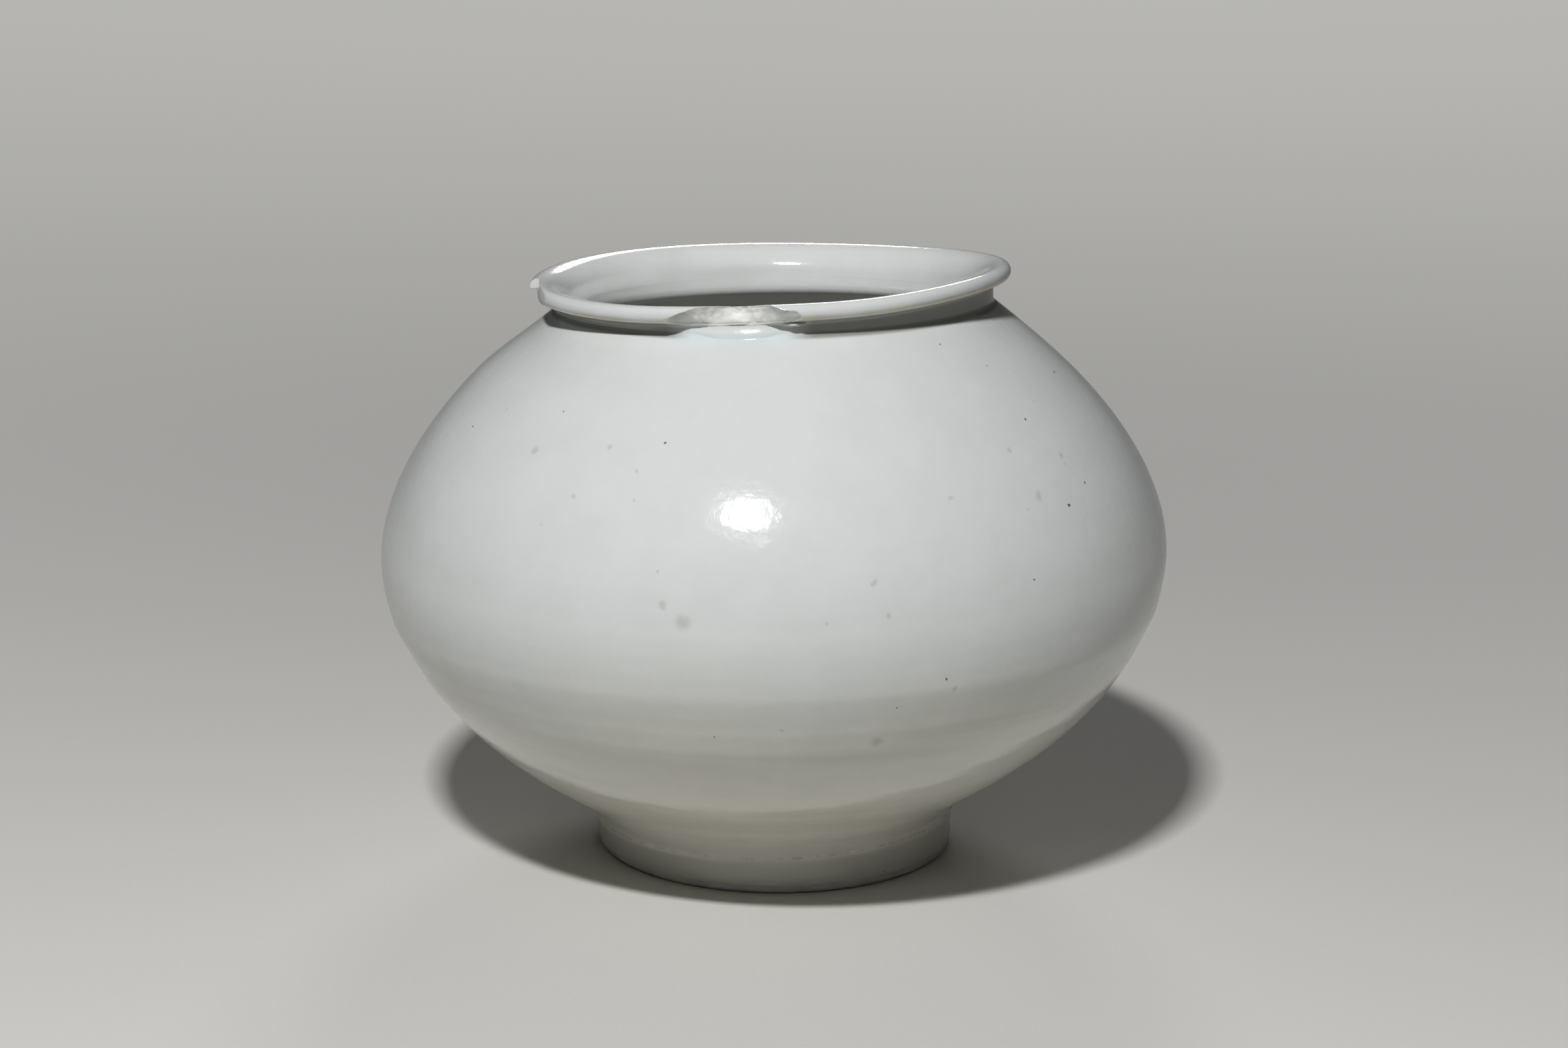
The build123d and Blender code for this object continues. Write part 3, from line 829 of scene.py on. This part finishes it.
def foot(outside, clay):
    """Ring with a bevelled standing edge, and the slip that joins it to the body."""
    joint = FOOT_HEIGHT - SLIP
    side = spaced(outside, 14, FOOT_BEVEL_RISE, joint)
    edge = [(FOOT_INSIDE, joint), (FOOT_INSIDE, FOOT_BEVEL), (FOOT_INSIDE + FOOT_BEVEL, 0),
            (side[0, 0] - FOOT_BEVEL, 0)]
    turned("foot_ring_clay", "foot_ring", clay, np.vstack((edge, side)),
           even_bearings(FOOT_COLUMNS))
    inner_side = [(FOOT_INSIDE, FOOT_HEIGHT), (FOOT_INSIDE, joint)]
    turned("foot_slip_joint", "foot_slip", clay,
           np.vstack((inner_side, spaced(outside, 3, joint, FOOT_HEIGHT))), even_bearings(FOOT_SLIP_COLUMNS))


def bowls(outside, upward, clay):
    """The two thrown bowls, and the slip between them and under the rim."""
    under, over = SEAM_HEIGHT - SLIP / 2, SEAM_HEIGHT + SLIP / 2
    bearings = even_bearings(CLAY_COLUMNS)

    def wall(low, high, steps):
        """Section of the wall between two heights."""
        return np.vstack((spaced(outside, steps, low, high), spaced(upward, steps, low, high)[::-1]))

    base = [(0, FOOT_HEIGHT), (FOOT_INSIDE, FOOT_HEIGHT)]
    low_out = spaced(outside, 60, FOOT_HEIGHT, under)
    low_in = spaced(upward, 60, None, under)[::-1]
    turned("lower_bowl_clay", "lower_bowl", clay, np.vstack((base, low_out, low_in)), bearings)
    turned("belly_slip_joint", "belly_slip", clay, wall(under, over, 3), bearings)
    turned("upper_bowl_clay", "upper_bowl", clay, wall(over, NECK_HEIGHT - SLIP, 70), bearings)
    turned("neck_slip_joint", "neck_slip", clay, wall(NECK_HEIGHT - SLIP, NECK_HEIGHT, 3),
           bearings)


def mouth(outside, upward, clay):
    """The neck, the rolled lip and the funnel in one piece of clay, chipped and nicked."""
    rim_out = spaced(outside, 70, NECK_HEIGHT)
    rim_in = spaced(upward, 24, NECK_HEIGHT)[::-1][1:]
    turned("mouth_rim_clay", "mouth_rim", clay, np.vstack((rim_out, rim_in)),
           close_bearings(LIP_COLUMNS), broken_clay)


def outer_coat(outside, glaze):
    """Glaze on the outside in two pieces: the body, and the lip with its neck."""
    body = spaced(outside, 200, BARE_EDGE, COAT_SPLIT)
    body_back = spaced(outside, 50, BARE_EDGE, COAT_SPLIT)[::-1]
    turned("outer_glaze_body", "outer_glaze", glaze,
           np.vstack((raised(body, GLAZE), body_back)), even_bearings(BODY_COLUMNS))
    lip = spaced(outside, 90, COAT_SPLIT)
    lip_back = spaced(outside, 24, COAT_SPLIT)[::-1]
    turned("outer_glaze_lip", "outer_glaze", glaze, np.vstack((raised(lip, GLAZE), lip_back)),
           close_bearings(LIP_COLUMNS), broken_glaze)


def inner_coat(upward, glaze):
    """Glaze on the inside in two pieces: the bowls, and the funnel of the mouth."""
    bowl = raised(spaced(upward, 200, None, NECK_HEIGHT)[::-1], GLAZE)
    bowl[-1, 0] = 0
    bowl_back = spaced(upward, 60, None, NECK_HEIGHT)
    turned("inner_glaze_coat", "inner_glaze", glaze, np.vstack((bowl_back, bowl)),
           even_bearings(BOWL_COLUMNS))
    funnel = raised(spaced(upward, 50, NECK_HEIGHT)[::-1], GLAZE)
    funnel_back = spaced(upward, 24, NECK_HEIGHT)
    turned("inner_glaze_lip", "inner_glaze", glaze, np.vstack((funnel_back, funnel)),
           close_bearings(LIP_COLUMNS), broken_lining)


def well_coat(glaze):
    """Glaze in the well under the floor, round in its corner and wiped off the standing edge."""
    corner = bent((FOOT_INSIDE - WELL_ROUND, FOOT_HEIGHT), (FOOT_INSIDE, FOOT_HEIGHT),
                  (FOOT_INSIDE, FOOT_HEIGHT - WELL_ROUND), 20)
    well = np.vstack(([(0, FOOT_HEIGHT)], spaced(corner, 20), [(FOOT_INSIDE, BARE_EDGE)]))
    well = spaced(well, 60)
    cover = raised(well, GLAZE)
    cover[0, 0] = 0
    turned("well_glaze_coat", "well_glaze", glaze, np.vstack((cover, well[::-1])),
           even_bearings(FOOT_COLUMNS))


def build_jar():
    """Every piece of the jar, from the same two lines: the clay's outside and its inside."""
    outer = glazed_porcelain("outer_clear_glaze", "CDD0CF", True)
    inner = glazed_porcelain("inner_clear_glaze", "D8DAD9", False)
    clay = bare_porcelain()
    outside, upward = outside_line(), inside_line()[::-1]
    foot(outside, clay)
    bowls(outside, upward, clay)
    mouth(outside, upward, clay)
    outer_coat(outside, outer)
    inner_coat(upward, inner)
    well_coat(inner)


build_jar()
paper_floor()
studio_light()
photo_camera()
